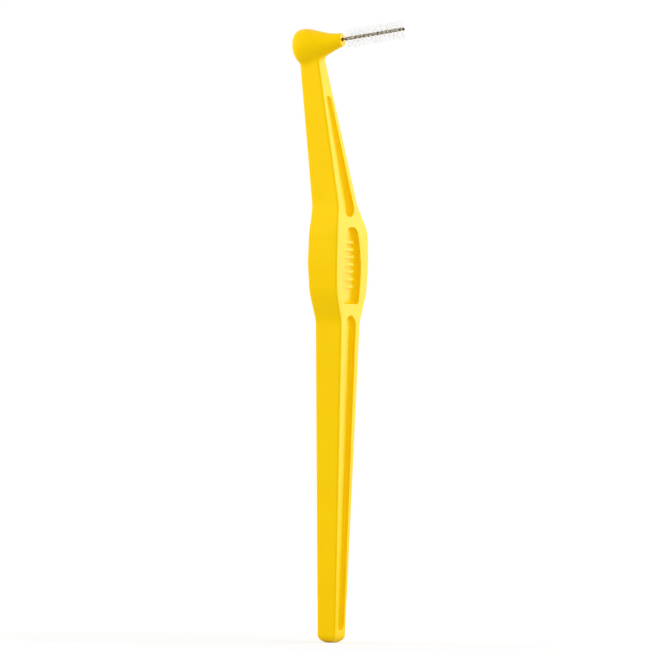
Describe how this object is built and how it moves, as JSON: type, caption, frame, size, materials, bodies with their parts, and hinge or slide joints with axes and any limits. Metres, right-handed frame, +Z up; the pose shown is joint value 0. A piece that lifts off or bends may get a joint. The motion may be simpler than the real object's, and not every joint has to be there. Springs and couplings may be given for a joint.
{
  "type": "interdental brush",
  "caption": "Long angled interdental brush: flat grooved plastic handle with a wide thumb grip, round head, twisted wire and nylon bristles.",
  "frame": {"origin": "lowest point of the handle's end, on the axis of the straight lower handle", "axes": "+Z up along the handle, +X the way the brush points (normal of the grooved front face), Y across the wide grip"},
  "size_m": [0.0301, 0.0158, 0.1521],
  "materials": {
    "handle_plastic": "smooth moulded, semi-gloss yellow",
    "coated_wire": "thin clear coated steel, brownish grey",
    "nylon": "translucent white monofilament"
  },
  "bodies": {
    "handle": {"handle": "handle_plastic", "wire_anchor": "coated_wire"},
    "wire_link": {"wire_link": "coated_wire"},
    "brush": {"wire_stem": "coated_wire", "filament_row_01": "nylon", "filament_row_02": "nylon", "filament_row_03": "nylon", "filament_row_04": "nylon", "filament_row_05": "nylon", "filament_row_06": "nylon", "filament_row_07": "nylon", "filament_row_08": "nylon", "filament_row_09": "nylon", "filament_row_10": "nylon", "filament_row_11": "nylon", "filament_row_12": "nylon", "filament_row_13": "nylon"}
  },
  "joints": [
    {"name": "wire_pitch", "type": "hinge", "parent": "handle", "child": "wire_link", "pos_m": [-0.0001, 0, 0.14712], "axis": [0, -1, 0], "range_deg": [-20, 20], "stiffness_Nm_per_rad": 0.025},
    {"name": "wire_yaw", "type": "hinge", "parent": "wire_link", "child": "brush", "pos_m": [0.00069, 0, 0.14725], "axis": [-0.1564, 0, 0.9877], "range_deg": [-20, 20], "stiffness_Nm_per_rad": 0.025}
  ]
}
